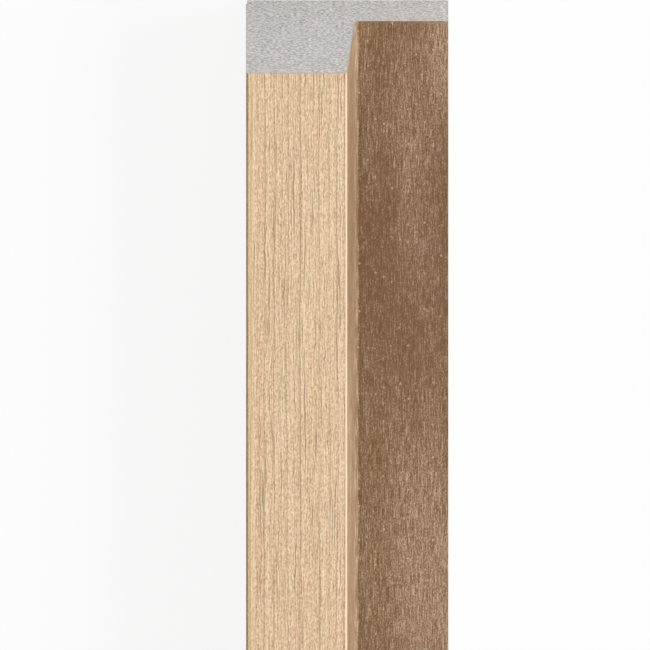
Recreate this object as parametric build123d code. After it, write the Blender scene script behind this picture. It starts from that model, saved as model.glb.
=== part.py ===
from build123d import *

import os
from math import cos, radians, sin, tan

# Wall panel edge trim: an extruded foam core with two wood-look decor films laminated on it.
# The section is drawn in X and Z and runs along Y. The trim lies on its back, with its front up.
# The slat is on the -X side. The flange, which butts against the next panel, is on the +X side.

# Driving dimensions, in millimetres and degrees
LENGTH = 2650.0  # one stock length
WIDTH = 42.0  # from the slat's outer side to the flange's free edge
THICKNESS = 21.0  # from the back to the slat's front
SLAT_FACE = 21.0  # width of the slat's front
FLANGE_THICKNESS = 6.0  # from the back to the flange's front
SIDE_DRAFT = 6.0  # lean of the slat's inner side away from upright
ARRIS_RADIUS = 0.5  # rounding along the slat's two front edges
FOOT_RADIUS = 1.0  # hollow between the slat's inner side and the flange
FILM = 0.2  # thickness of both decor films
HEM = 1.0  # strip of bare core between the back and the film on the outer side

# Places and directions worked out from them
OUTER_SIDE = -WIDTH / 2
FREE_EDGE = WIDTH / 2
DRAFT = radians(SIDE_DRAFT)
SIDE_NORMAL = Vector(cos(DRAFT), sin(DRAFT))


def inner_side(z, inset=0):
    """X of the slat's leaning inner side at height z, moved into the slat by inset."""
    face_edge = OUTER_SIDE + SLAT_FACE
    return face_edge + (THICKNESS - z) * tan(DRAFT) - inset / cos(DRAFT)


def section(inset):
    """The trim's section, with the faces that the films cover moved in by inset."""
    outer = OUTER_SIDE + inset
    front = THICKNESS - inset
    flange = FLANGE_THICKNESS - inset
    arris = ARRIS_RADIUS - inset
    corner_radii = {
        (outer, 0): 0,
        (FREE_EDGE, 0): 0,
        (FREE_EDGE, flange): 0,
        (inner_side(flange, inset), flange): FOOT_RADIUS + inset,
        (inner_side(front, inset), front): arris,
        (outer, front): arris,
    }
    return make_face(FilletPolyline(*corner_radii, radius=corner_radii.values(), close=True))


def seam():
    """Both ends of the butt joint of the films: on the core, and in the open where the arris ends."""
    arris_run = ARRIS_RADIUS * tan((radians(90) - DRAFT) / 2)
    z = THICKNESS - arris_run * cos(DRAFT)
    in_the_open = Vector(inner_side(z), z)
    return in_the_open - SIDE_NORMAL * FILM, in_the_open


def region(*corners):
    """A straight-sided region of the section."""
    return make_face(Polyline(*corners, close=True))


def extruded(profile):
    """One stock length of a profile, centred on the origin along Y."""
    return extrude(Plane.XZ * profile, LENGTH / 2, both=True)


# Core and films in section
core_section = section(FILM)
film_section = section(0) - core_section

# The pale film wraps the slat's outer side, its front and both arrises, down to the seam.
# The brown film takes over there and covers the inner side, the foot and the flange.
seam_on_core, seam_in_open = seam()
pale_region = region(
    (OUTER_SIDE, HEM),
    (seam_on_core.X, HEM),
    seam_on_core,
    seam_in_open,
    (seam_in_open.X, THICKNESS),
    (OUTER_SIDE, THICKNESS),
)
brown_region = region(
    (seam_on_core.X, 0),
    (FREE_EDGE, 0),
    (FREE_EDGE, seam_in_open.Y),
    seam_in_open,
    seam_on_core,
)

nodes = {
    "foam_core": extruded(core_section),
    "pale_film": extruded(film_section & pale_region),
    "brown_film": extruded(film_section & brown_region),
}

os.makedirs("parts", exist_ok=True)
for name, solid in nodes.items():
    export_step(solid, f"parts/{name}.step")
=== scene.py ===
"""Wall panel edge trim, dressed for the studio: sawn foam core, pale film, brown film and the stage."""

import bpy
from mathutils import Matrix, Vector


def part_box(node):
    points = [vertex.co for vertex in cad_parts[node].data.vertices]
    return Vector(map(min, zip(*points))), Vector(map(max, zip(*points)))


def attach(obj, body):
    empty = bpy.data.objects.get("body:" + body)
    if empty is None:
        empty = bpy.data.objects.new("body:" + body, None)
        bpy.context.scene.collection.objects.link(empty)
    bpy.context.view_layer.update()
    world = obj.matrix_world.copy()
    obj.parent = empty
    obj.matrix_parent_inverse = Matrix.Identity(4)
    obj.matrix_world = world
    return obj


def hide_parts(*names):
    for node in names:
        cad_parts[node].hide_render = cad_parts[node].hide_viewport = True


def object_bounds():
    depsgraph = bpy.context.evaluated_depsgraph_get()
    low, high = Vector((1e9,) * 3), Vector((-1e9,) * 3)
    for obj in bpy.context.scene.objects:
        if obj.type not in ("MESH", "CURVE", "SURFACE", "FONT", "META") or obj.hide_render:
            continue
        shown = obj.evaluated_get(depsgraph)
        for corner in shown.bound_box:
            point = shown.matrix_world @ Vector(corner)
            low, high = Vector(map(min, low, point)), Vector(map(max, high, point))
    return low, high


bl_info = {
    "name": "Wall panel edge trim",
    "version": (1, 0, 0),
    "blender": (4, 5, 0),
    "location": "3D View > Sidebar > Edge trim",
    "description": "Builds the foam core, both wood-look films and the stage of a wall panel edge trim",
    "category": "Object",
}

from math import ceil, cos, pi, radians, sin

import bpy
from bpy.props import FloatProperty, FloatVectorProperty, IntProperty, PointerProperty
from bpy.types import Operator, Panel, PropertyGroup
from mathutils import Vector
from mathutils.geometry import delaunay_2d_cdt

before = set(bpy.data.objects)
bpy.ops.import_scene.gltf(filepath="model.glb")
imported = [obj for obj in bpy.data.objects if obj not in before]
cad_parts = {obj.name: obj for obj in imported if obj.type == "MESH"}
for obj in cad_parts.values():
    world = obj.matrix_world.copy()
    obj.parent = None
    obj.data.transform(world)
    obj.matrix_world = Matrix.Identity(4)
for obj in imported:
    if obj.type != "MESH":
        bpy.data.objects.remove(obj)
CAD_LOW, CAD_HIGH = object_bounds()

# Places and thicknesses that the solids give, in metres
LENGTH = CAD_HIGH.y - CAD_LOW.y
OUTER_SIDE = CAD_LOW.x
FREE_EDGE = CAD_HIGH.x
FRONT = CAD_HIGH.z
FILM_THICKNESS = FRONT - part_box("foam_core")[1].z
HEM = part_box("pale_film")[0].z
FLANGE_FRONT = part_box("brown_film")[0].z + FILM_THICKNESS

# The photograph: its side, and where the trim's left side, right side and back edge lie in it
PHOTO_PIXELS = 650
LEFT_PIXEL = 246.0
RIGHT_PIXEL = 448.3
BACK_PIXEL = 0.3
CAMERA_TILT = radians(46.4)
CAMERA_DISTANCE = 1.0


def colour_property(name, description, default):
    """A colour that the panel shows as a swatch."""
    return FloatVectorProperty(
        name=name, description=description, default=default, subtype="COLOR", size=3, min=0.0, max=1.0
    )


def length_property(name, description, default):
    """A length in metres."""
    return FloatProperty(
        name=name, description=description, default=default, subtype="DISTANCE", unit="LENGTH", precision=5
    )


def power_property(name, description, default):
    """The power of a light in watts."""
    return FloatProperty(name=name, description=description, default=default, unit="POWER")


def seed_property(default):
    """Which piece of an endless print the film shows."""
    return IntProperty(name="Seed", description="Another piece of the same print", default=default)


class SectionSizes(PropertyGroup):
    """Sizes of the trim's section."""

    slat_face: length_property("Slat face", "Width of the slat's front between its sharp corners", 0.021)
    flange_thickness: length_property(
        "Flange thickness", "From the back to the flange's front", FLANGE_FRONT
    )
    side_draft: FloatProperty(
        name="Side draft",
        description="Lean of the slat's inner side away from upright",
        default=radians(6),
        subtype="ANGLE",
        unit="ROTATION",
    )
    arris_radius: length_property("Arris radius", "Rounding along the slat's two front edges", 0.0005)
    foot_radius: length_property("Foot radius", "Hollow between the inner side and the flange", 0.001)
    film: length_property("Film thickness", "Thickness of both films", FILM_THICKNESS)
    hem: length_property("Hem", "Strip of bare core below the film on the outer side", HEM)


class CoreLook(PropertyGroup):
    """Finish of the sawn foam core."""

    dark: colour_property("Cell shade", "Grey in the open cells", (0.36, 0.338, 0.326))
    light: colour_property("Cell wall", "Grey of the cut cell walls", (0.78, 0.741, 0.717))
    # Painted shade: the skin of the long faces is a darker grey to hold back the key light, which falls
    # fully on the free edge
    shaded_skin_dark: colour_property("Skin shade", "Darker grey of the extruded skin", (0.33, 0.310, 0.298))
    shaded_skin_light: colour_property("Skin", "Lighter grey of the extruded skin", (0.49, 0.463, 0.447))
    pitch: length_property("Mesh pitch", "Distance of the points on the sawn ends", 0.00042)
    relief: length_property("Saw relief", "Depth of the ripple on the sawn ends", 0.00012)


class PaleFilmLook(PropertyGroup):
    """Print and embossing of the pale film."""

    dark: colour_property("Grain", "Dark grain of the print", (0.325, 0.110, 0.012))
    light: colour_property("Ground", "Light ground of the print", (0.935, 0.725, 0.500))
    line: colour_property("Lines", "Long dark lines and the end of each growth ring", (0.27, 0.145, 0.055))
    edge_strip: colour_property("Edge strip", "Yellower strip beside the outer arris", (0.80, 0.60, 0.33))
    # Painted highlight: pale colour along the inner arris, where the rounding faces the key light
    arris: colour_property("Arris", "Stretched film along the inner arris", (0.77, 0.605, 0.455))
    # Painted shade on both arrises: on the outer one, which faces away from the key light, and on the inner
    # one's end beyond its highlight
    seam: colour_property("Seam", "Film along the seam and the outer arris", (0.30, 0.19, 0.11))
    fibre_pitch: length_property("Fibre pitch", "Distance of the fine fibres", 0.00024)
    fibre_length: length_property("Fibre length", "Length of the fine fibres", 0.011)
    speckle_length: length_property("Speckle length", "Length of the specks along the fibres", 0.0008)
    ring_pitch: length_property("Ring pitch", "Usual width of a growth ring", 0.0022)
    wobble: length_property("Wobble", "How far the fibres weave to and fro", 0.0006)
    relief: length_property("Emboss depth", "Depth of the embossed rings", 0.000015)
    seed: seed_property(306)


class BrownFilmLook(PropertyGroup):
    """Print and embossing of the brown film."""

    dark: colour_property("Grain", "Dark grain of the print", (0.112, 0.036, 0.003))
    light: colour_property("Ground", "Light ground of the print", (0.560, 0.412, 0.272))
    fleck: colour_property("Flecks", "Pale flecks and scuffs", (0.56, 0.43, 0.30))
    # Painted light: lightens the slat's side, which faces the key light
    side: colour_property("Side tint", "Lighter tint of the slat's side", (0.60, 0.44, 0.275))
    fibre_pitch: length_property("Fibre pitch", "Distance of the fine fibres", 0.00017)
    fibre_length: length_property("Fibre length", "Length of the fine fibres", 0.005)
    speckle_length: length_property("Speckle length", "Length of the specks along the fibres", 0.0005)
    ring_pitch: length_property("Ring pitch", "Usual width of a growth ring", 0.0026)
    wobble: length_property("Wobble", "How far the fibres weave to and fro", 0.0002)
    relief: length_property("Emboss depth", "Depth of the embossed rings", 0.000008)
    seed: seed_property(139)


class StageLook(PropertyGroup):
    """Floor and studio light."""

    floor: colour_property("Floor", "Colour of the floor", (0.9, 0.9, 0.9))
    key: power_property("Key light", "Power of the long softbox beside the flange", 50.0)
    end_fill: power_property("End lights", "Power of the softboxes beyond both ends", 11.0)
    world: FloatProperty(
        name="Surrounding light", description="Strength of the even light", default=0.30, min=0.0
    )


class EdgeTrimSettings(PropertyGroup):
    """Everything that a user would change on the trim."""

    section: PointerProperty(type=SectionSizes)
    core: PointerProperty(type=CoreLook)
    pale: PointerProperty(type=PaleFilmLook)
    brown: PointerProperty(type=BrownFilmLook)
    stage: PointerProperty(type=StageLook)


def opaque(colour):
    """A colour property as a shader colour."""
    return (*colour, 1.0)


class Graph:
    """Adds and links the nodes of one tree, so that a pattern reads like the formula it follows."""

    def __init__(self, tree):
        self.tree = tree

    def node(self, kind, inputs=None, **settings):
        """A new node with its settings made and its inputs linked or set."""
        node = self.tree.nodes.new(kind)
        for name, value in settings.items():
            setattr(node, name, value)
        for key, value in (inputs or {}).items():
            self.feed(node.inputs[key], value)
        return node

    def feed(self, socket, value):
        """Links an output to a socket, or sets the socket's own value."""
        if isinstance(value, bpy.types.NodeSocket):
            self.tree.links.new(value, socket)
        else:
            socket.default_value = value

    def math(self, operation, first, second=0.0):
        """One operation on two values."""
        return self.node("ShaderNodeMath", {0: first, 1: second}, operation=operation).outputs[0]

    def chain(self, operation, values):
        """One operation on several values in turn."""
        result = values[0]
        for value in values[1:]:
            result = self.math(operation, result, value)
        return result

    def plus(self, *values):
        """The sum of several values."""
        return self.chain("ADD", values)

    def times(self, *values):
        """The product of several values."""
        return self.chain("MULTIPLY", values)

    def minus(self, first, second):
        """The difference of two values."""
        return self.math("SUBTRACT", first, second)

    def over(self, first, second):
        """The ratio of two values."""
        return self.math("DIVIDE", first, second)

    def larger(self, first, second):
        """The larger of two values."""
        return self.math("MAXIMUM", first, second)

    def centred(self, value):
        """A value around one half, moved to lie around zero."""
        return self.minus(value, 0.5)

    def scaled(self, value, low, high):
        """A value from 0 to 1 spread from low to high."""
        return self.plus(self.times(value, high - low), low)

    def step(self, value, low, high):
        """0 below low, 1 above high and a smooth rise between, or a fall where low is the higher one."""
        inputs = {"Value": value, "From Min": low, "From Max": high}
        return self.node("ShaderNodeMapRange", inputs, interpolation_type="SMOOTHSTEP").outputs[0]

    def band(self, value, low, high, soft):
        """1 between low and high, with soft borders."""
        rise = self.step(value, low - soft, low + soft)
        fall = self.step(value, high + soft, high - soft)
        return self.times(rise, fall)

    def split(self, vector):
        """The three parts of a vector."""
        return self.node("ShaderNodeSeparateXYZ", {0: vector}).outputs

    def place(self, x, y, z):
        """A place for a texture to be read at."""
        return self.node("ShaderNodeCombineXYZ", {0: x, 1: y, 2: z}).outputs[0]

    def noise(self, place, detail=1.0):
        """Soft noise around one half."""
        inputs = {"Vector": place, "Scale": 1.0, "Detail": detail, "Roughness": 0.5}
        return self.node("ShaderNodeTexNoise", inputs).outputs[0]

    def patches(self, across, width, along, length, seed):
        """Noise in patches of a width across the film and a length along it."""
        return self.noise(self.place(self.over(across, width), self.over(along, length), seed))

    def mix(self, factor, first, second):
        """A colour between two others."""
        inputs = {0: factor, 6: first, 7: second}
        return self.node("ShaderNodeMix", inputs, data_type="RGBA").outputs[2]

    def paint(self, colour, mask, strength, tint):
        """A colour with a tint laid over it where a mask says, at a given strength."""
        return self.mix(self.times(mask, strength), colour, opaque(tint))


def new_tree(name, kind, inputs, outputs):
    """A node tree with named inputs and outputs of given kinds, and its graph."""
    tree = bpy.data.node_groups.new(name, kind)
    for direction, sockets in (("INPUT", inputs), ("OUTPUT", outputs)):
        for label, socket in sockets.items():
            tree.interface.new_socket(label, in_out=direction, socket_type="NodeSocket" + socket)
    return tree, Graph(tree)


# Sway of the grain: how far, over what width and length
SWAY_REACH = 0.0011
SWAY_PITCH = 0.006
SWAY_LENGTH = 0.055

# Growth rings: how far their widths differ, over how many rings and what length
RING_UNEVEN = 3.2
RING_SPAN = 3.0
RING_LENGTH = 1.2


def swayed(graph, across, along, seed):
    """The place across the film, moved to and fro as the grain wanders along it."""
    sway = graph.centred(graph.patches(across, SWAY_PITCH, along, SWAY_LENGTH, seed))
    return graph.plus(across, graph.times(sway, SWAY_REACH))


def ring_phase(graph, across, along, pitch, seed):
    """Where in its growth ring a place lies, from 0 to 1, in a shader tree or a geometry tree alike."""
    rings = graph.over(across, pitch)
    uneven = graph.times(graph.patches(rings, RING_SPAN, along, RING_LENGTH, seed), RING_UNEVEN)
    return graph.math("FRACT", graph.plus(rings, uneven))


# The sawn foam's cells: width, run along the trim, height and octaves of noise
CELL_WIDTH = 0.00062
CELL_RUN = 0.006
CELL_HEIGHT = 0.00020
CELL_DETAIL = 2.0


def foam_cells(graph, position):
    """Noise of the sawn foam's cells, drawn out along the saw's travel and along the extrusion."""
    x, y, z = graph.split(position)
    place = graph.place(graph.over(x, CELL_WIDTH), graph.over(y, CELL_RUN), graph.over(z, CELL_HEIGHT))
    return graph.noise(place, CELL_DETAIL)


GRAIN_INPUTS = (
    "Across", "Along", "Fibre pitch", "Fibre length", "Speckle length", "Ring pitch", "Wobble", "Seed"
)
GRAIN_MARKS = ("Fibre", "Flank", "Line", "Beside line", "Speckle", "Late wood", "Early wood", "Tone")

# Long lines: their length in fibres, and how many of them come to one fibre's pitch
LINE_LENGTH = 2.0
LINE_SPREAD = 0.7

# How far beside a mark its painted light and shade of embossing lie, as a share of the mark's pitch
FLANK_SHIFT = 0.42

# The fibres' weave to and fro, and the clouds of the print
WOBBLE_PITCH = 0.0012
WOBBLE_LENGTH = 0.005
TONE_WIDTH = 0.012
TONE_LENGTH = 0.11

# Growth rings in their phase: the late wood falls off, and the early wood rises and falls off slowly
LATE_FALL = (0.17, 0.06)
EARLY_RISE = (0.08, 0.17)
EARLY_FALL = (0.85, 0.20)

# Ragged borders of the rings, and their strength, which fades in and out along the trim
RING_RAGGED = 0.0003
FADE_LENGTH = 0.07
FADE_RISE = (0.30, 0.62)
FAINTEST_RING = 0.25

# From the seed of one noise to that of the next
SEED_STEP = 20.5


def film_grain_group():
    """Shader group of a wood print: fibres, painted light and shade of their embossing, long lines, rings,
    specks and clouds.
    """
    name = "film_grain"
    if name in bpy.data.node_groups:
        return bpy.data.node_groups[name]
    inputs, outputs = (dict.fromkeys(labels, "Float") for labels in (GRAIN_INPUTS, GRAIN_MARKS))
    tree, graph = new_tree(name, "ShaderNodeTree", inputs, outputs)
    given = graph.node("NodeGroupInput").outputs
    across, along, seed = given["Across"], given["Along"], given["Seed"]
    other_seed = graph.plus(seed, SEED_STEP)
    drifted = swayed(graph, across, along, seed)
    weave = graph.centred(graph.patches(drifted, WOBBLE_PITCH, along, WOBBLE_LENGTH, seed))
    woven = graph.plus(drifted, graph.times(weave, given["Wobble"]))
    fibre_across = graph.over(woven, given["Fibre pitch"])
    fibre_along = graph.over(along, given["Fibre length"])
    fibre = graph.noise(graph.place(fibre_across, fibre_along, seed))
    beside = graph.noise(graph.place(graph.minus(fibre_across, FLANK_SHIFT), fibre_along, seed))
    line_across = graph.times(fibre_across, LINE_SPREAD)
    line_along = graph.over(fibre_along, LINE_LENGTH)
    beside_line = graph.minus(line_across, FLANK_SHIFT)
    speckle = graph.noise(graph.place(fibre_across, graph.over(along, given["Speckle length"]), other_seed))
    ragged = graph.plus(drifted, graph.times(graph.centred(speckle), RING_RAGGED))
    phase = ring_phase(graph, ragged, along, given["Ring pitch"], seed)
    fade = graph.patches(drifted, given["Ring pitch"], along, FADE_LENGTH, other_seed)
    strength = graph.scaled(graph.step(fade, *FADE_RISE), FAINTEST_RING, 1.0)
    early = graph.times(graph.step(phase, *EARLY_RISE), graph.step(phase, *EARLY_FALL))
    marks = {
        "Fibre": fibre,
        # Painted light and shade of the embossing: lighter on one side of each fibre and darker on the
        # other
        "Flank": graph.minus(beside, fibre),
        "Line": graph.noise(graph.place(line_across, line_along, other_seed)),
        "Beside line": graph.noise(graph.place(beside_line, line_along, other_seed)),
        "Speckle": speckle,
        "Late wood": graph.times(graph.step(phase, *LATE_FALL), strength),
        "Early wood": graph.times(early, strength),
        "Tone": graph.patches(across, TONE_WIDTH, along, TONE_LENGTH, seed),
    }
    graph.node("NodeGroupOutput", marks)
    return tree


def new_material(name):
    """An empty node material with its graph."""
    material = bpy.data.materials.new(name)
    material.use_nodes = True
    material.node_tree.nodes.clear()
    return material, Graph(material.node_tree)


def finish_material(graph, colour, roughness, gloss, height, depth):
    """The shader and its output: colour, roughness, an even gloss and a bump of the given depth."""
    bump = graph.node("ShaderNodeBump", {"Height": height, "Distance": depth, "Strength": 1.0})
    inputs = {"Base Color": colour, "Roughness": roughness, "Specular IOR Level": gloss}
    inputs["Normal"] = bump.outputs[0]
    shader = graph.node("ShaderNodeBsdfPrincipled", inputs)
    graph.node("ShaderNodeOutputMaterial", {"Surface": shader.outputs[0]})


# How far a face has to look along the trim to count as sawn
SAWN_FACING = (0.5, 0.9)


def sawn_edge(graph):
    """1 on the ends that the saw cut, 0 on the long faces."""
    normal = graph.node("ShaderNodeNewGeometry").outputs["True Normal"]
    return graph.step(graph.math("ABSOLUTE", graph.split(normal)[1]), *SAWN_FACING)


def film_place(graph):
    """Where a point lies on its film: across by the film's own width, along by the trim's length."""
    across = graph.node("ShaderNodeAttribute", attribute_name="wrap").outputs["Fac"]
    along = graph.split(graph.node("ShaderNodeTexCoord").outputs["Object"])[1]
    return across, along


def film_grain(graph, look, across, along):
    """Places the grain group on a film, and gives the marks of its print."""
    inputs = {
        "Across": across,
        "Along": along,
        "Fibre pitch": look.fibre_pitch,
        "Fibre length": look.fibre_length,
        "Speckle length": look.speckle_length,
        "Ring pitch": look.ring_pitch,
        "Wobble": look.wobble,
        "Seed": float(look.seed),
    }
    return graph.node("ShaderNodeGroup", inputs, node_tree=film_grain_group()).outputs


def print_shade(graph, ground, shares, **marks):
    """How light a print is: its ground, and each mark by its share."""
    return graph.plus(ground, *(graph.times(mark, shares[name]) for name, mark in marks.items()))


# Finish of both films: grey of the cut edge, gloss, roughness of low and of high fibres, and embossing
SAWN_FILM = (0.50, 0.475, 0.455, 1.0)
FILM_GLOSS = 0.08
FILM_ROUGHNESS = (0.78, 0.62)
SPECKLE_HEIGHT = 0.4
FILM_BUMP = 0.000006


def finish_film(graph, colour, grain):
    """Gives a film its sawn edges, its silky roughness and the embossing of its fibres."""
    edged = graph.mix(sawn_edge(graph), colour, SAWN_FILM)
    roughness = graph.scaled(grain["Fibre"], *FILM_ROUGHNESS)
    height = graph.plus(grain["Fibre"], graph.times(grain["Speckle"], SPECKLE_HEIGHT))
    finish_material(graph, edged, roughness, FILM_GLOSS, height, FILM_BUMP)


# The pale print's ground, and what each mark adds to it; the painted relief and the line highlight are
# painted light and shade of the embossing
PALE_GROUND = 0.69
PALE_SHARES = {
    "fibre": -0.44,
    "flank": 0.70,
    "line_flank": 0.22,
    "speckle": 1.16,
    "early_wood": 0.11,
    "tone": 0.12,
    "edge_grain": -0.10,
    # Painted dark rim beside the inner arris's painted highlight
    "arris_line": -0.26,
}

# Marks along the outer arris, in metres from the start of the front: from, to and softness
# The first of these is painted shade on the outer arris, which faces away from the key light
OUTER_ARRIS_SHADE = (-0.00042, -0.00004, 0.00012)
EDGE_STRIP = (0.0, 0.0011, 0.00015)
EDGE_GRAIN = (0.0015, 0.0022, 0.0002)

# In metres: a painted dark rim and the painted highlight's start, from the inner arris's start, and the
# painted shade, from its end
HIGHLIGHT_HALO = (-0.00002, 0.00016, 0.0001)
HIGHLIGHT_DELAY = 0.00012
ARRIS_SHADE_RISE = (0.0001, 0.0004)

# Where the long dark lines stand out of their noise, and how strongly each mark covers the print
LINE_RISE = (0.57, 0.74)
LINE_STRENGTH = 0.62
LATE_WOOD_STRENGTH = 0.42
EDGE_STRIP_STRENGTH = 0.35
OUTER_ARRIS_SHADE_STRENGTH = 0.55
HIGHLIGHT_STRENGTH = 0.75
ARRIS_SHADE_STRENGTH = 0.5


def pale_film_material(look, front_start, arris_start, arris_end):
    """Pale wood print: fine embossed fibres with painted light and shade beside them, long dark lines, edge
    marks, painted shade on both arrises and a painted highlight on the inner arris.
    """
    material, graph = new_material("pale_wood_film")
    across, along = film_place(graph)
    grain = film_grain(graph, look, across, along)
    on_front = graph.minus(across, front_start)
    shade = print_shade(
        graph,
        PALE_GROUND,
        PALE_SHARES,
        fibre=graph.centred(grain["Fibre"]),
        flank=grain["Flank"],
        line_flank=graph.step(grain["Beside line"], *LINE_RISE),
        speckle=graph.centred(grain["Speckle"]),
        early_wood=grain["Early wood"],
        tone=graph.centred(grain["Tone"]),
        edge_grain=graph.band(on_front, *EDGE_GRAIN),
        arris_line=graph.band(graph.minus(across, arris_start), *HIGHLIGHT_HALO),
    )
    line = graph.times(graph.step(grain["Line"], *LINE_RISE), LINE_STRENGTH)
    late_wood = graph.times(grain["Late wood"], LATE_WOOD_STRENGTH)
    # Painted highlight along the inner arris, where the rounding faces the key light
    arris_highlight = graph.step(across, arris_start + HIGHLIGHT_DELAY, arris_end)
    # Painted shade on the inner arris's end, which narrows its highlight
    seam = graph.step(graph.minus(across, arris_end), *ARRIS_SHADE_RISE)
    colour = graph.mix(shade, opaque(look.dark), opaque(look.light))
    colour = graph.mix(graph.larger(line, late_wood), colour, opaque(look.line))
    colour = graph.paint(colour, graph.band(on_front, *EDGE_STRIP), EDGE_STRIP_STRENGTH, look.edge_strip)
    # Painted shade on the outer arris
    colour = graph.paint(colour, graph.band(on_front, *OUTER_ARRIS_SHADE), OUTER_ARRIS_SHADE_STRENGTH, look.seam)
    colour = graph.paint(colour, arris_highlight, HIGHLIGHT_STRENGTH, look.arris)
    colour = graph.paint(colour, seam, ARRIS_SHADE_STRENGTH, look.seam)
    finish_film(graph, colour, grain)
    return material


# Scuffs: distance, length and slant of the scratches, and the fields that they keep to
SCUFF_PITCH = 0.0005
SCUFF_LENGTH = 0.011
SCUFF_TURN = radians(35)
SCUFF_RISE = (0.68, 0.80)
FIELD_WIDTH = 0.016
FIELD_LENGTH = 0.032
FIELD_RISE = (0.5, 0.65)


def scuffs(graph, across, along, seed):
    """Mask of a few faint scratches that run askew over the grain."""
    sine, cosine = sin(SCUFF_TURN), cos(SCUFF_TURN)
    run = graph.plus(graph.times(across, cosine), graph.times(along, sine))
    aside = graph.plus(graph.times(across, -sine), graph.times(along, cosine))
    lines = graph.patches(aside, SCUFF_PITCH, run, SCUFF_LENGTH, seed)
    field = graph.patches(across, FIELD_WIDTH, along, FIELD_LENGTH, seed)
    return graph.times(graph.step(lines, *SCUFF_RISE), graph.step(field, *FIELD_RISE))


# Flecks: the cells that hold one each, its soft border and how few of the cells show theirs
FLECK_WIDTH = 0.0017
FLECK_LENGTH = 0.0030
FLECK_FALL = (0.17, 0.06)
FLECK_CHANCE = (0.72, 1.0)


def flecks(graph, across, along, seed):
    """Mask of small pale flecks."""
    place = graph.place(graph.over(across, FLECK_WIDTH), graph.over(along, FLECK_LENGTH), seed)
    inputs = {"Vector": place, "Scale": 1.0}
    cells = graph.node("ShaderNodeTexVoronoi", inputs, voronoi_dimensions="2D").outputs
    chance = graph.node("ShaderNodeSeparateColor", {0: cells["Color"]}).outputs[0]
    return graph.times(graph.step(cells["Distance"], *FLECK_FALL), graph.step(chance, *FLECK_CHANCE))


# The brown print's ground, what each mark adds to it, and the curve that the sum is put through; the
# painted relief is painted light and shade of the embossing, the free edge mark is painted shade that
# darkens the flange near the slat, and the foot shade is painted shade in the corner
BROWN_GROUND = 0.30
BROWN_SHARES = {
    "fibre": 1.04,
    "flank": 0.95,
    "line": 0.36,
    "speckle": 1.08,
    "side_tone": 0.40,
    "late_wood": -0.03,
    "cloud": 0.28,
    # Painted shade: darker near the slat, lighter towards the free edge
    "free_edge": 0.06,
    "foot_line": -0.09,
}
CLOUD_RISE = (0.30, 0.70)
SHADE_POWER = 2.0
SHADE_RANGE = (0.135, 1.635)

# Borders in metres from the end of the foot: of the slat's side, and of the painted shade in the corner
# beside it
SIDE_FALL = (-0.00006, -0.00036)
FOOT_SHADE = (0.0, 0.0005, 0.0002)

# On the slat's side: a wider print, weaker specks, added soft patches, more contrast and painted light that
# makes it lighter, as if the key light fell on it more fully
SIDE_STRETCH = 0.6
SIDE_SPECKLE = 0.35
SIDE_TONE_WIDTH = 0.0016
SIDE_TONE_LENGTH = 0.007
SIDE_MIDDLE = 0.29
SIDE_CONTRAST = 0.75
SIDE_PAINTED_LIGHT = 0.27

# How strongly the marks on top of the print cover it
FLECK_STRENGTH = 0.85
SCUFF_STRENGTH = 0.33


def brown_film_material(look, foot_end, free_edge):
    """Brown wood print: very fine pale fibres with painted light and shade beside them, clouded tone,
    flecks, a few faint scuffs, painted light on the slat's side and painted shade near the foot.
    """
    material, graph = new_material("brown_wood_film")
    seed = float(look.seed)
    across, along = film_place(graph)
    short_of_foot = graph.minus(foot_end, graph.math("MINIMUM", across, foot_end))
    drawn_out = graph.plus(across, graph.times(short_of_foot, 1.0 - SIDE_STRETCH))
    grain = film_grain(graph, look, drawn_out, along)
    past_foot = graph.minus(across, foot_end)
    on_side = graph.step(past_foot, *SIDE_FALL)
    side_tone = graph.patches(across, SIDE_TONE_WIDTH, along, SIDE_TONE_LENGTH, seed)
    shade = print_shade(
        graph,
        BROWN_GROUND,
        BROWN_SHARES,
        fibre=graph.centred(grain["Fibre"]),
        flank=grain["Flank"],
        line=graph.centred(grain["Line"]),
        speckle=graph.times(graph.centred(grain["Speckle"]), graph.scaled(on_side, 1.0, SIDE_SPECKLE)),
        side_tone=graph.times(graph.centred(side_tone), on_side),
        late_wood=grain["Late wood"],
        cloud=graph.centred(graph.step(grain["Tone"], *CLOUD_RISE)),
        # Painted shade on the flange near the slat, fading towards the free edge
        free_edge=graph.step(across, foot_end, free_edge),
        foot_line=graph.band(past_foot, *FOOT_SHADE),
    )
    curved = graph.scaled(graph.math("POWER", shade, SHADE_POWER), *SHADE_RANGE)
    livelier = graph.times(graph.minus(curved, SIDE_MIDDLE), on_side, SIDE_CONTRAST)
    fleck = graph.times(flecks(graph, across, along, seed), FLECK_STRENGTH)
    scuff = graph.times(scuffs(graph, across, along, seed), SCUFF_STRENGTH)
    colour = graph.mix(graph.plus(curved, livelier), opaque(look.dark), opaque(look.light))
    # Painted light on the slat's side, which faces the key light
    colour = graph.paint(colour, on_side, SIDE_PAINTED_LIGHT, look.side)
    colour = graph.mix(graph.larger(fleck, scuff), colour, opaque(look.fleck))
    finish_film(graph, colour, grain)
    return material


# Foam: how sharply the cells stand out on the sawn ends and on the skin of the long faces, which is painted
# darker as shade, and the finish
SAWN_CONTRAST = (0.27, 0.73)
SHADED_SKIN_CONTRAST = (0.0, 1.0)
FOAM_ROUGHNESS = (0.95, 0.8)
FOAM_GLOSS = 0.1
FOAM_BUMP = 0.00008


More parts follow.
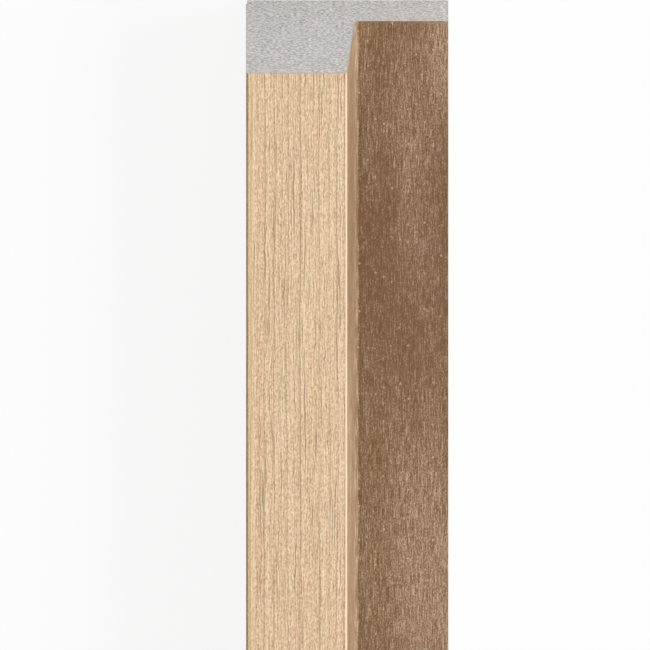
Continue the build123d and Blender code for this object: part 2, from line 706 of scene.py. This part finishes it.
def foam_material(look):
    """Matt grey foam: fine cells, drawn out along the saw's travel, and a darker skin on the long faces,
    painted darker as shade against the strong key light on them.
    """
    material, graph = new_material("grey_foam")
    cells = foam_cells(graph, graph.node("ShaderNodeTexCoord").outputs["Object"])
    sawn = graph.mix(graph.step(cells, *SAWN_CONTRAST), opaque(look.dark), opaque(look.light))
    # Painted shade on the long faces, darker to hold back the key light on them
    shaded_skin = graph.mix(graph.step(cells, *SHADED_SKIN_CONTRAST), opaque(look.shaded_skin_dark), opaque(look.shaded_skin_light))
    colour = graph.mix(sawn_edge(graph), shaded_skin, sawn)
    finish_material(graph, colour, graph.scaled(cells, *FOAM_ROUGHNESS), FOAM_GLOSS, cells, FOAM_BUMP)
    return material


class Section:
    """The trim's section in X and Z, for faces moved in from the open by an inset."""

    def __init__(self, sizes, inset):
        self.draft = sizes.side_draft
        self.outer = OUTER_SIDE + inset
        self.front = FRONT - inset
        self.flange = sizes.flange_thickness - inset
        self.arris_radius = sizes.arris_radius - inset
        self.foot_radius = sizes.foot_radius + inset
        self.normal = Vector((cos(self.draft), sin(self.draft)))
        corner = Vector((OUTER_SIDE + sizes.slat_face, FRONT))
        self.reach = self.normal.dot(corner) - inset
        self.outer_arris = Vector((self.outer + self.arris_radius, self.front - self.arris_radius))
        self.inner_arris = self.centre(-self.arris_radius, self.front - self.arris_radius)
        self.hollow = self.centre(self.foot_radius, self.flange + self.foot_radius)

    def centre(self, offset, z):
        """Where an arc has its centre: at height z, and offset from the leaning side."""
        return Vector(((self.reach + offset - self.normal.y * z) / self.normal.x, z))

    def slat_line(self, low, pitch):
        """From the outer side at height low, over the front, to the end of the inner arris."""
        side_pitch, front_pitch = pitch
        return join_runs(
            straight((self.outer, low), (self.outer, self.outer_arris.y), side_pitch),
            arc(self.outer_arris, self.arris_radius, pi, pi / 2),
            straight((self.outer_arris.x, self.front), (self.inner_arris.x, self.front), front_pitch),
            arc(self.inner_arris, self.arris_radius, pi / 2, self.draft),
        )

    def groove_line(self, pitch):
        """From the end of the inner arris, down the leaning side, to the flange's free edge."""
        side_pitch, flange_pitch = pitch
        top = self.inner_arris + self.normal * self.arris_radius
        foot = self.hollow - self.normal * self.foot_radius
        return join_runs(
            straight(top, foot, side_pitch),
            arc(self.hollow, self.foot_radius, pi + self.draft, pi * 1.5),
            straight((self.hollow.x, self.flange), (FREE_EDGE, self.flange), flange_pitch),
        )


def straight(start, end, pitch):
    """Points from start to end, about a pitch apart."""
    start, end = Vector(start), Vector(end)
    steps = max(1, ceil((end - start).length / pitch))
    return [start.lerp(end, step / steps) for step in range(steps + 1)]


# Steps from one end of an arc to the other
ARC_STEPS = 7


def arc(centre, radius, start, end):
    """Points round a centre, from one angle to another."""
    angles = [start + (end - start) * step / ARC_STEPS for step in range(ARC_STEPS + 1)]
    return [centre + Vector((cos(angle), sin(angle))) * radius for angle in angles]


def join_runs(*runs):
    """One line from runs that start where the last one ended."""
    line = list(runs[0])
    for run in runs[1:]:
        line.extend(run[1:])
    return line


def distances(line):
    """How far along the line each of its points is."""
    result = [0.0]
    for before, after in zip(line, line[1:]):
        result.append(result[-1] + (after - before).length)
    return result


def outward_directions(line):
    """The way out of the surface at each point of a line, and none at the line's own ends."""
    result = [Vector()]
    for before, after in zip(line, line[2:]):
        run = (after - before).normalized()
        result.append(Vector((-run.y, 0.0, run.x)))
    result.append(Vector())
    return result


def stored(graph, name, kind="FLOAT"):
    """A value stored on the points of a mesh, in a geometry tree."""
    return graph.node("GeometryNodeInputNamedAttribute", {"Name": name}, data_type=kind).outputs[0]


def press_and_dress(graph, geometry, offset, material, output):
    """The end of a geometry tree: presses the relief in, makes the result real and sets its material."""
    pressed = graph.node("GeometryNodeSetPosition", {"Geometry": geometry, "Offset": offset}).outputs[0]
    real = graph.node("GeometryNodeRealizeInstances", {"Geometry": pressed}).outputs[0]
    dressed = graph.node("GeometryNodeSetMaterial", {"Geometry": real, "Material": material}).outputs[0]
    graph.node("NodeGroupOutput", {output: dressed})


def film_sweep_tree():
    """Geometry tree: sweeps a film's section along the trim and presses the growth rings into its face."""
    name = "film_sweep"
    if name in bpy.data.node_groups:
        return bpy.data.node_groups[name]
    inputs = {
        "Section": "Geometry",
        **dict.fromkeys(("Length", "Ring pitch", "Emboss depth", "Seed"), "Float"),
        "Rows": "Int",
        "Material": "Material",
    }
    tree, graph = new_tree(name, "GeometryNodeTree", inputs, {"Film": "Geometry"})
    given = graph.node("NodeGroupInput").outputs
    half = graph.times(given["Length"], 0.5)
    ends = {"Start": graph.place(0.0, graph.times(half, -1.0), 0.0), "End": graph.place(0.0, half, 0.0)}
    path = graph.node("GeometryNodeCurvePrimitiveLine", ends).outputs[0]
    rows = graph.node("GeometryNodeResampleCurve", {"Curve": path, "Count": given["Rows"]}).outputs[0]
    profile = graph.node("GeometryNodeMeshToCurve", {"Mesh": given["Section"]}).outputs[0]
    sweep = {"Curve": rows, "Profile Curve": profile, "Fill Caps": True}
    swept = graph.node("GeometryNodeCurveToMesh", sweep).outputs[0]
    along = graph.split(graph.node("GeometryNodeInputPosition").outputs[0])[1]
    drifted = swayed(graph, stored(graph, "wrap"), along, given["Seed"])
    phase = ring_phase(graph, drifted, along, given["Ring pitch"], given["Seed"])
    wave = graph.math("SINE", graph.times(phase, 2 * pi))
    # The wave runs from -1 to 1, so half of it less a half only ever presses the face in
    depth = graph.times(graph.scaled(wave, -0.5, 0.0), given["Emboss depth"])
    outward = stored(graph, "outward", "FLOAT_VECTOR")
    offset = graph.node("ShaderNodeVectorMath", {0: outward, "Scale": depth}, operation="SCALE").outputs[0]
    press_and_dress(graph, swept, offset, given["Material"], "Film")
    return tree


def sawn_end_tree():
    """Geometry tree: presses the ripple of the saw and the foam's cells into the sawn ends."""
    inputs = {"Core": "Geometry", "Saw relief": "Float", "Material": "Material"}
    tree, graph = new_tree("sawn_end", "GeometryNodeTree", inputs, {"Core": "Geometry"})
    given = graph.node("NodeGroupInput").outputs
    cells = foam_cells(graph, graph.node("GeometryNodeInputPosition").outputs[0])
    hollow = graph.times(graph.minus(cells, 1.0), given["Saw relief"])
    offset = graph.place(0.0, graph.times(hollow, stored(graph, "facing")), 0.0)
    press_and_dress(graph, given["Core"], offset, given["Material"], "Core")
    return tree


def run_tree(obj, tree, values):
    """Runs a geometry tree on an object with named values, and keeps the result as its plain mesh."""
    modifier = obj.modifiers.new(tree.name, "NODES")
    modifier.node_group = tree
    identifiers = {
        item.name: item.identifier
        for item in tree.interface.items_tree
        if item.item_type == "SOCKET" and item.in_out == "INPUT"
    }
    for name, value in values.items():
        modifier[identifiers[name]] = value
    bpy.context.view_layer.update()
    graph = bpy.context.evaluated_depsgraph_get()
    made = obj.evaluated_get(graph)
    mesh = bpy.data.meshes.new_from_object(made, preserve_all_data_layers=True, depsgraph=graph)
    obj.modifiers.remove(modifier)
    obj.data = mesh
    mesh.name = obj.name
    return mesh


def new_object(name, verts, edges, faces):
    """A mesh object at the origin."""
    mesh = bpy.data.meshes.new(name)
    mesh.from_pydata(verts, edges, faces)
    obj = bpy.data.objects.new(name, mesh)
    bpy.context.scene.collection.objects.link(obj)
    return obj


SMOOTH_ANGLE = radians(35)


def smooth(mesh):
    """Smooth shading with the real edges left sharp."""
    mesh.shade_smooth()
    mesh.set_sharp_from_angle(angle=SMOOTH_ANGLE)


def join_body(obj, node):
    """Puts a finished piece in the place of its CAD node."""
    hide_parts(node)
    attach(obj, "root")


# The bake map: the gap round each island, and a film's strips and their share of the width
BAKE_MAP = "OFBake"
BAKE_GAP = 0.004
BAKE_STRIPS = 3
BAKE_FACE_SHARE = 0.95


def in_island(start, size, share):
    """A place on the bake's map, by its share of an island that keeps clear of its neighbours."""
    return start + BAKE_GAP + share * (size - 2 * BAKE_GAP)


def lay_out_film(mesh, width):
    """A map for baking: the film's face in strips side by side, its hidden faces beside them."""
    layer = mesh.uv_layers.new(name=BAKE_MAP)
    wrap = mesh.attributes["wrap"].data
    outer = mesh.attributes["outer"].data
    strip_length = LENGTH / BAKE_STRIPS
    strip_width = BAKE_FACE_SHARE / BAKE_STRIPS
    for face in mesh.polygons:
        is_side = len(face.vertices) == 4
        is_open = is_side and all(outer[vertex].value > 0.5 for vertex in face.vertices)
        strip = min(BAKE_STRIPS - 1, int((face.center.y + LENGTH / 2) / strip_length))
        for loop in face.loop_indices:
            vertex = mesh.vertices[mesh.loops[loop].vertex_index]
            from_end = vertex.co.y + LENGTH / 2
            share = wrap[vertex.index].value / width
            if is_open:
                u = in_island(strip * strip_width, strip_width, share)
                v = in_island(0.0, 1.0, (from_end - strip * strip_length) / strip_length)
            else:
                u = in_island(BAKE_FACE_SHARE, 1.0 - BAKE_FACE_SHARE, share)
                v = in_island(0.0, 1.0, from_end / LENGTH)
            layer.data[loop].uv = (u, v)


# Rows of points along a film
FILM_ROWS = 721


def build_film(name, open_line, core_line, look, material):
    """Sweeps a film between its open line and its line on the core, and puts it on the trim."""
    wrap = distances(open_line)
    hidden_wrap = distances(core_line)
    stretch = wrap[-1] / hidden_wrap[-1]
    hidden_wrap = [value * stretch for value in hidden_wrap]
    loop = open_line + core_line[::-1]
    count = len(loop)
    # The sweep lays the section's second axis along -Z, so heights are turned over here
    verts = [(point.x, -point.y, 0.0) for point in loop]
    edges = [(index, (index + 1) % count) for index in range(count)]
    obj = new_object(name, verts, edges, [])
    hidden_outward = [Vector()] * len(hidden_wrap)
    attributes = {
        "wrap": ("FLOAT", "value", wrap + hidden_wrap[::-1]),
        "outer": ("FLOAT", "value", [1.0] * len(wrap) + [0.0] * len(hidden_wrap)),
        "outward": ("FLOAT_VECTOR", "vector", outward_directions(open_line) + hidden_outward),
    }
    for label, (kind, field, values) in attributes.items():
        data = obj.data.attributes.new(label, kind, "POINT").data
        for item, value in zip(data, values):
            setattr(item, field, value)
    tree_values = {
        "Length": LENGTH,
        "Ring pitch": look.ring_pitch,
        "Emboss depth": look.relief,
        "Seed": float(look.seed),
        "Rows": FILM_ROWS,
        "Material": material,
    }
    mesh = run_tree(obj, film_sweep_tree(), tree_values)
    smooth(mesh)
    lay_out_film(mesh, wrap[-1])
    join_body(obj, name)


# Distance of a section's points: on the slat's side, then on its front or on the flange
PALE_PITCH = (0.0007, 0.0003)
BROWN_PITCH = (0.00036, 0.0003)
HIDDEN_PITCH = (0.02, 0.02)

# Where the painted highlight and shade of the inner arris start and end, in lengths of the arris from the
# pale film's edge
ARRIS_FROM = 1.25
ARRIS_TO = 0.75


class EDGETRIM_OT_pale_film(Operator):
    """Sweep the pale film over the slat's outer side, its front and both arrises"""

    bl_idname = "edgetrim.pale_film"
    bl_label = "Pale film"

    def execute(self, context):
        look = context.scene.edge_trim.pale
        sizes = context.scene.edge_trim.section
        open_line = Section(sizes, 0.0).slat_line(sizes.hem, PALE_PITCH)
        core_line = Section(sizes, sizes.film).slat_line(sizes.hem, HIDDEN_PITCH)
        width = distances(open_line)[-1]
        front_start = FRONT - sizes.arris_radius - sizes.hem + sizes.arris_radius * pi / 2
        arris_run = sizes.arris_radius * (pi / 2 - sizes.side_draft)
        arris_start = width - ARRIS_FROM * arris_run
        arris_end = width - ARRIS_TO * arris_run
        material = pale_film_material(look, front_start, arris_start, arris_end)
        build_film("pale_film", open_line, core_line, look, material)
        return {"FINISHED"}


class EDGETRIM_OT_brown_film(Operator):
    """Sweep the brown film over the slat's inner side, its foot and the flange"""

    bl_idname = "edgetrim.brown_film"
    bl_label = "Brown film"

    def execute(self, context):
        look = context.scene.edge_trim.brown
        sizes = context.scene.edge_trim.section
        open_section = Section(sizes, 0.0)
        open_line = open_section.groove_line(BROWN_PITCH)
        core_line = Section(sizes, sizes.film).groove_line(HIDDEN_PITCH)
        width = distances(open_line)[-1]
        foot_end = width - (FREE_EDGE - open_section.hollow.x)
        material = brown_film_material(look, foot_end, width)
        build_film("brown_film", open_line, core_line, look, material)
        return {"FINISHED"}


# Points of a sawn end: worked in millimetres, in staggered rows that keep clear of the outline
MM = 0.001
ROW_HEIGHT = 0.866
END_MARGIN = 0.8
MERGE_DISTANCE = 1e-5
INSIDE_TRIANGLES = 1


def sawn_end(outline, pitch):
    """Points and triangles of a sawn end: the outline's points first, then those inside it."""
    flat = [point / MM for point in outline]
    spacing = pitch / MM
    row_spacing = spacing * ROW_HEIGHT
    low_x = min(point.x for point in flat)
    low_z = min(point.y for point in flat)
    columns = int((max(point.x for point in flat) - low_x) / spacing)
    rows = int((max(point.y for point in flat) - low_z) / row_spacing)
    inside = []
    for row in range(rows + 1):
        shift = 0.5 if row % 2 else 0.0
        for column in range(columns + 1):
            point = Vector((low_x + (column + shift) * spacing, low_z + row * row_spacing))
            if clear_inside(point, flat, spacing * END_MARGIN):
                inside.append(point)
    rim = [(index, (index + 1) % len(flat)) for index in range(len(flat))]
    made = delaunay_2d_cdt(flat + inside, rim, [], INSIDE_TRIANGLES, MERGE_DISTANCE)
    points, triangles = made[0], made[2]
    return [point * MM for point in points], triangles


def clear_inside(point, outline, margin):
    """Whether a point is inside an outline and at least a margin away from it."""
    within = False
    for start, end in zip(outline, outline[1:] + outline[:1]):
        run = end - start
        share = max(0.0, min(1.0, (point - start).dot(run) / run.length_squared))
        if (start + run * share - point).length < margin:
            return False
        if (start.y > point.y) != (end.y > point.y):
            if point.x < start.x + (point.y - start.y) / run.y * run.x:
                within = not within
    return within


# Shares of the bake's map that each sawn end of the core takes up
BAKE_END_WIDTH = 0.5
BAKE_END_HEIGHT = 0.26


def lay_out_core(mesh, outline, count):
    """A map for baking: both sawn ends side by side, and the long faces above them."""
    layer = mesh.uv_layers.new(name=BAKE_MAP)
    rim = len(outline)
    around = distances(outline + outline[:1])
    for face in mesh.polygons:
        is_end = len(face.vertices) == 3
        end_start = 0.0 if face.center.y < 0 else BAKE_END_WIDTH
        closes_rim = {vertex % count for vertex in face.vertices} == {0, rim - 1}
        for loop in face.loop_indices:
            vertex = mesh.vertices[mesh.loops[loop].vertex_index]
            if is_end:
                across = (vertex.co.x - OUTER_SIDE) / (FREE_EDGE - OUTER_SIDE)
                u = in_island(end_start, BAKE_END_WIDTH, across)
                v = in_island(0.0, BAKE_END_HEIGHT, vertex.co.z / FRONT)
            else:
                step = vertex.index % count
                if closes_rim and step == 0:
                    step = rim
                u = in_island(0.0, 1.0, (vertex.co.y + LENGTH / 2) / LENGTH)
                v = in_island(BAKE_END_HEIGHT, 1.0 - BAKE_END_HEIGHT, around[step] / around[-1])
            layer.data[loop].uv = (u, v)


# Distance of the core's points along its outline
OUTLINE_PITCH = 0.0008


class EDGETRIM_OT_foam_core(Operator):
    """Build the foam core with its two sawn ends"""

    bl_idname = "edgetrim.foam_core"
    bl_label = "Foam core"

    def execute(self, context):
        look = context.scene.edge_trim.core
        outline = self.outline(context.scene.edge_trim.section)
        points, triangles = sawn_end(outline, look.pitch)
        count = len(points)
        rim = len(outline)
        verts = [(point.x, end, point.y) for end in (-LENGTH / 2, LENGTH / 2) for point in points]
        faces = [tuple(face) for face in triangles]
        faces += [tuple(index + count for index in reversed(face)) for face in triangles]
        for index in range(rim):
            after = (index + 1) % rim
            faces.append((index, index + count, after + count, after))
        obj = new_object("foam_core", verts, [], faces)
        facing = obj.data.attributes.new("facing", "FLOAT", "POINT").data
        for index in range(rim, count):
            facing[index].value = -1.0
            facing[index + count].value = 1.0
        values = {"Saw relief": look.relief, "Material": foam_material(look)}
        mesh = run_tree(obj, sawn_end_tree(), values)
        smooth(mesh)
        lay_out_core(mesh, outline, count)
        join_body(obj, "foam_core")
        return {"FINISHED"}

    def outline(self, sizes):
        """The core's section as a loop in reverse, without the last point, which repeats the first."""
        section = Section(sizes, sizes.film)
        pitch = (OUTLINE_PITCH, OUTLINE_PITCH)
        line = join_runs(
            section.slat_line(0.0, pitch),
            section.groove_line(pitch),
            straight((FREE_EDGE, section.flange), (FREE_EDGE, 0.0), OUTLINE_PITCH),
            straight((FREE_EDGE, 0.0), (section.outer, 0.0), OUTLINE_PITCH),
        )
        return line[-2::-1]


# Floor: its side, how far it lies below the trim and how much of it shows as plain white
FLOOR_SIDE = 14.0
FLOOR_DROP = 0.0001
FLOOR_GLOW = 0.88

# Softboxes: the long key beside the flange, and one beyond each end
KEY_SIZE = (4.6, 0.5)
KEY_PLACE = Vector((1.25, 0.0, 0.78))
END_SIZE = (1.2, 1.2)
END_REACH = 1.5
END_HEIGHT = 0.9


def seen_ray(graph):
    """1 for the rays that show the background: from the camera, off gloss or through glass."""
    path = graph.node("ShaderNodeLightPath").outputs
    seen = graph.larger(path["Is Camera Ray"], path["Is Glossy Ray"])
    return graph.larger(seen, path["Is Transmission Ray"])


def add_light(name, place, target, size, power):
    """A softbox that faces a target."""
    data = bpy.data.lights.new(name, "AREA")
    data.shape = "RECTANGLE"
    data.size, data.size_y = size
    data.energy = power
    light = bpy.data.objects.new(name, data)
    light.location = place
    light.rotation_euler = (target - place).to_track_quat("-Z", "Y").to_euler()
    light.visible_camera = False
    bpy.context.scene.collection.objects.link(light)


class EDGETRIM_OT_stage(Operator):
    """Set up the floor, the studio light and the camera"""

    bl_idname = "edgetrim.stage"
    bl_label = "Stage"

    def execute(self, context):
        look = context.scene.edge_trim.stage
        self.floor(look)
        self.world(look)
        self.lights(look)
        self.camera()
        context.scene.view_settings.view_transform = "Standard"
        return {"FINISHED"}

    def floor(self, look):
        """A wide pale floor, which shows white with a softened shadow."""
        side = FLOOR_SIDE / 2
        corners = [(-side, -side), (side, -side), (side, side), (-side, side)]
        obj = new_object("floor", [(x, y, -FLOOR_DROP) for x, y in corners], [], [(0, 1, 2, 3)])
        material, graph = new_material("floor_paper")
        diffuse = graph.node("ShaderNodeBsdfDiffuse", {"Color": opaque(look.floor)})
        glow = graph.node("ShaderNodeEmission", {"Strength": 1.0})
        share = graph.times(seen_ray(graph), FLOOR_GLOW)
        mixed = graph.node("ShaderNodeMixShader", {0: share, 1: diffuse.outputs[0], 2: glow.outputs[0]})
        graph.node("ShaderNodeOutputMaterial", {"Surface": mixed.outputs[0]})
        obj.data.materials.append(material)

    def world(self, look):
        """Even light all round, white where it is seen."""
        world = bpy.data.worlds.new("studio")
        world.use_nodes = True
        world.node_tree.nodes.clear()
        graph = Graph(world.node_tree)
        strength = graph.plus(look.world, graph.times(seen_ray(graph), 1.0 - look.world))
        sky = graph.node("ShaderNodeBackground", {"Color": (1.0, 1.0, 1.0, 1.0), "Strength": strength})
        graph.node("ShaderNodeOutputWorld", {"Surface": sky.outputs[0]})
        bpy.context.scene.world = world

    def lights(self, look):
        """A long softbox beside the flange, and one beyond each end."""
        middle = Vector((0.0, 0.0, FRONT / 2))
        add_light("key_softbox", KEY_PLACE, middle, KEY_SIZE, look.key)
        for side in (-1, 1):
            end = Vector((0.0, side * LENGTH / 2, FRONT / 2))
            place = end + Vector((0.0, side * END_REACH, END_HEIGHT))
            add_light("end_softbox", place, end, END_SIZE, look.end_fill)

    def camera(self):
        """A camera with parallel rays at the photograph's angle and framing."""
        scale = (FREE_EDGE - OUTER_SIDE) / (RIGHT_PIXEL - LEFT_PIXEL)
        up = Vector((0.0, cos(CAMERA_TILT), -sin(CAMERA_TILT)))
        back = Vector((0.0, sin(CAMERA_TILT), cos(CAMERA_TILT)))
        back_edge = Vector((OUTER_SIDE, LENGTH / 2, 0.0))
        right_by = (PHOTO_PIXELS / 2 - LEFT_PIXEL) * scale
        down_by = (PHOTO_PIXELS / 2 - BACK_PIXEL) * scale
        aim = Vector((OUTER_SIDE + right_by, 0.0, 0.0)) + up * (back_edge.dot(up) - down_by)
        data = bpy.data.cameras.new("camera")
        data.type = "ORTHO"
        data.ortho_scale = PHOTO_PIXELS * scale
        obj = bpy.data.objects.new("camera", data)
        obj.location = aim + back * (CAMERA_DISTANCE + aim.length)
        obj.rotation_euler = (-CAMERA_TILT, 0.0, 0.0)
        bpy.context.scene.collection.objects.link(obj)
        bpy.context.scene.camera = obj


OPERATORS = (EDGETRIM_OT_foam_core, EDGETRIM_OT_pale_film, EDGETRIM_OT_brown_film, EDGETRIM_OT_stage)


class EDGETRIM_PT_sidebar(Panel):
    """Lists the pieces of the trim and their settings"""

    bl_label = "Edge trim"
    bl_space_type = "VIEW_3D"
    bl_region_type = "UI"
    bl_category = "Edge trim"

    def draw(self, context):
        for operator in OPERATORS:
            self.layout.operator(operator.bl_idname)
        settings = context.scene.edge_trim
        for label in EdgeTrimSettings.__annotations__:
            group = getattr(settings, label)
            box = self.layout.box()
            box.label(text=label.capitalize())
            for name in type(group).__annotations__:
                box.prop(group, name)


CLASSES = (
    SectionSizes,
    CoreLook,
    PaleFilmLook,
    BrownFilmLook,
    StageLook,
    EdgeTrimSettings,
    *OPERATORS,
    EDGETRIM_PT_sidebar,
)


def register():
    """Registers the classes and the scene's settings."""
    for item in CLASSES:
        bpy.utils.register_class(item)
    bpy.types.Scene.edge_trim = PointerProperty(type=EdgeTrimSettings)


def unregister():
    """Takes the settings and the classes out again."""
    del bpy.types.Scene.edge_trim
    for item in reversed(CLASSES):
        bpy.utils.unregister_class(item)


def main():
    register()
    bpy.ops.edgetrim.foam_core()
    bpy.ops.edgetrim.pale_film()
    bpy.ops.edgetrim.brown_film()
    bpy.ops.edgetrim.stage()


if __name__ == "__main__":
    main()
